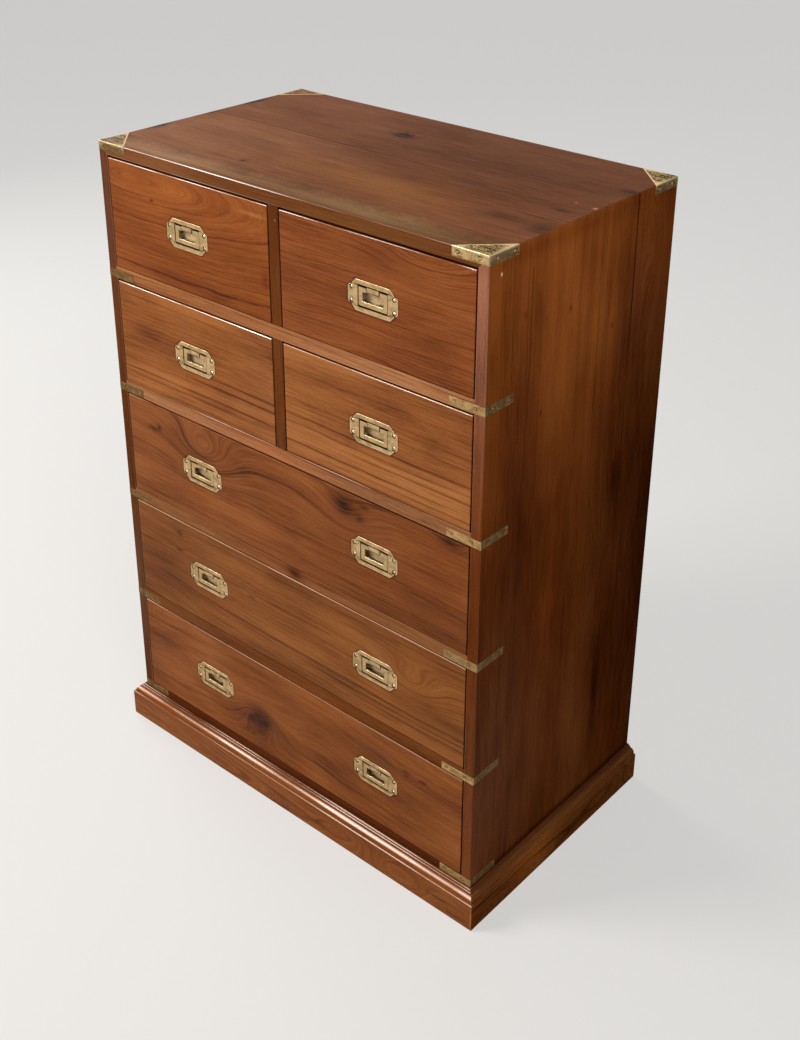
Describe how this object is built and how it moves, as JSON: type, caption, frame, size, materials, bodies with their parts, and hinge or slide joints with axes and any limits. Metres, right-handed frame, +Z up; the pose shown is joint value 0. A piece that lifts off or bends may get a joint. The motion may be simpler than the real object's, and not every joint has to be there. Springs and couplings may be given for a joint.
{
  "type": "chest of drawers",
  "caption": "Campaign chest of drawers in teak with flush brass pulls and folding bails, let-in brass corner straps and brackets, and a moulded mitred plinth.",
  "frame": {"origin": "middle of the footprint, on the floor", "axes": "+Z up, -Y towards the drawer fronts, +X to the right of someone facing them"},
  "size_m": [0.796, 0.4582, 1.0902],
  "materials": {
    "carcase_wood": "satin, waxed",
    "top_wood": "satin, worn",
    "rail_wood": "satin, waxed",
    "front_wood": "satin, waxed",
    "plinth_wood": "satin gloss",
    "inner_wood": "planed, bare",
    "brass_fittings": "aged satin",
    "brass_screws": "aged, worn bright at the edges"
  },
  "bodies": {
    "carcase": {"corner_straps": "brass_fittings", "corner_brackets": "brass_fittings", "dividers": "rail_wood", "side_runners": "inner_wood", "centre_runners": "inner_wood", "drawer_stops": "inner_wood", "back_boards": "inner_wood", "bottom_board": "inner_wood", "left_side": "carcase_wood", "right_side": "carcase_wood", "top_board": "top_wood", "rail_1": "rail_wood", "rail_2": "rail_wood", "rail_3": "rail_wood", "rail_4": "rail_wood", "bottom_rail": "rail_wood", "plinth_front": "plinth_wood", "plinth_right": "plinth_wood", "plinth_left": "plinth_wood", "plinth_back": "inner_wood", "plinth_blocks": "inner_wood", "carcase_screws": "brass_screws"},
    "drawer_1": {"drawer_1_front": "front_wood", "drawer_1_box": "inner_wood", "drawer_1_plates": "brass_fittings", "drawer_1_fixings": "brass_screws"},
    "bail_1": {"drawer_1_bail": "brass_fittings"},
    "drawer_2": {"drawer_2_front": "front_wood", "drawer_2_box": "inner_wood", "drawer_2_plates": "brass_fittings", "drawer_2_fixings": "brass_screws"},
    "bail_2": {"drawer_2_bail": "brass_fittings"},
    "drawer_3": {"drawer_3_front": "front_wood", "drawer_3_box": "inner_wood", "drawer_3_plates": "brass_fittings", "drawer_3_fixings": "brass_screws"},
    "bail_3": {"drawer_3_bail": "brass_fittings"},
    "drawer_4": {"drawer_4_front": "front_wood", "drawer_4_box": "inner_wood", "drawer_4_plates": "brass_fittings", "drawer_4_fixings": "brass_screws"},
    "bail_4": {"drawer_4_bail": "brass_fittings"},
    "drawer_5": {"drawer_5_front": "front_wood", "drawer_5_box": "inner_wood", "drawer_5_plates": "brass_fittings", "drawer_5_fixings": "brass_screws"},
    "bail_5_left": {"drawer_5_bail_left": "brass_fittings"},
    "bail_5_right": {"drawer_5_bail_right": "brass_fittings"},
    "drawer_6": {"drawer_6_front": "front_wood", "drawer_6_box": "inner_wood", "drawer_6_plates": "brass_fittings", "drawer_6_fixings": "brass_screws"},
    "bail_6_left": {"drawer_6_bail_left": "brass_fittings"},
    "bail_6_right": {"drawer_6_bail_right": "brass_fittings"},
    "drawer_7": {"drawer_7_front": "front_wood", "drawer_7_box": "inner_wood", "drawer_7_plates": "brass_fittings", "drawer_7_fixings": "brass_screws"},
    "bail_7_left": {"drawer_7_bail_left": "brass_fittings"},
    "bail_7_right": {"drawer_7_bail_right": "brass_fittings"}
  },
  "joints": [
    {"name": "drawer_1_slide", "type": "slide", "parent": "carcase", "child": "drawer_1", "axis": [0, -1, 0], "range_m": [0, 0.3]},
    {"name": "bail_1_hinge", "type": "hinge", "parent": "drawer_1", "child": "bail_1", "pos_m": [-0.186, -0.2093, 0.99045], "axis": [-1, 0, 0], "range_deg": [0, 90]},
    {"name": "drawer_2_slide", "type": "slide", "parent": "carcase", "child": "drawer_2", "axis": [0, -1, 0], "range_m": [0, 0.3]},
    {"name": "bail_2_hinge", "type": "hinge", "parent": "drawer_2", "child": "bail_2", "pos_m": [0.186, -0.2093, 0.99045], "axis": [-1, 0, 0], "range_deg": [0, 90]},
    {"name": "drawer_3_slide", "type": "slide", "parent": "carcase", "child": "drawer_3", "axis": [0, -1, 0], "range_m": [0, 0.3]},
    {"name": "bail_3_hinge", "type": "hinge", "parent": "drawer_3", "child": "bail_3", "pos_m": [-0.186, -0.2093, 0.78895], "axis": [-1, 0, 0], "range_deg": [0, 90]},
    {"name": "drawer_4_slide", "type": "slide", "parent": "carcase", "child": "drawer_4", "axis": [0, -1, 0], "range_m": [0, 0.3]},
    {"name": "bail_4_hinge", "type": "hinge", "parent": "drawer_4", "child": "bail_4", "pos_m": [0.186, -0.2093, 0.78895], "axis": [-1, 0, 0], "range_deg": [0, 90]},
    {"name": "drawer_5_slide", "type": "slide", "parent": "carcase", "child": "drawer_5", "axis": [0, -1, 0], "range_m": [0, 0.3]},
    {"name": "bail_5_left_hinge", "type": "hinge", "parent": "drawer_5", "child": "bail_5_left", "pos_m": [-0.186, -0.2093, 0.58745], "axis": [-1, 0, 0], "range_deg": [0, 90]},
    {"name": "bail_5_right_hinge", "type": "hinge", "parent": "drawer_5", "child": "bail_5_right", "pos_m": [0.186, -0.2093, 0.58745], "axis": [-1, 0, 0], "range_deg": [0, 90]},
    {"name": "drawer_6_slide", "type": "slide", "parent": "carcase", "child": "drawer_6", "axis": [0, -1, 0], "range_m": [0, 0.3]},
    {"name": "bail_6_left_hinge", "type": "hinge", "parent": "drawer_6", "child": "bail_6_left", "pos_m": [-0.186, -0.2093, 0.38495], "axis": [-1, 0, 0], "range_deg": [0, 90]},
    {"name": "bail_6_right_hinge", "type": "hinge", "parent": "drawer_6", "child": "bail_6_right", "pos_m": [0.186, -0.2093, 0.38495], "axis": [-1, 0, 0], "range_deg": [0, 90]},
    {"name": "drawer_7_slide", "type": "slide", "parent": "carcase", "child": "drawer_7", "axis": [0, -1, 0], "range_m": [0, 0.3]},
    {"name": "bail_7_left_hinge", "type": "hinge", "parent": "drawer_7", "child": "bail_7_left", "pos_m": [-0.186, -0.2093, 0.18095], "axis": [-1, 0, 0], "range_deg": [0, 90]},
    {"name": "bail_7_right_hinge", "type": "hinge", "parent": "drawer_7", "child": "bail_7_right", "pos_m": [0.186, -0.2093, 0.18095], "axis": [-1, 0, 0], "range_deg": [0, 90]}
  ]
}
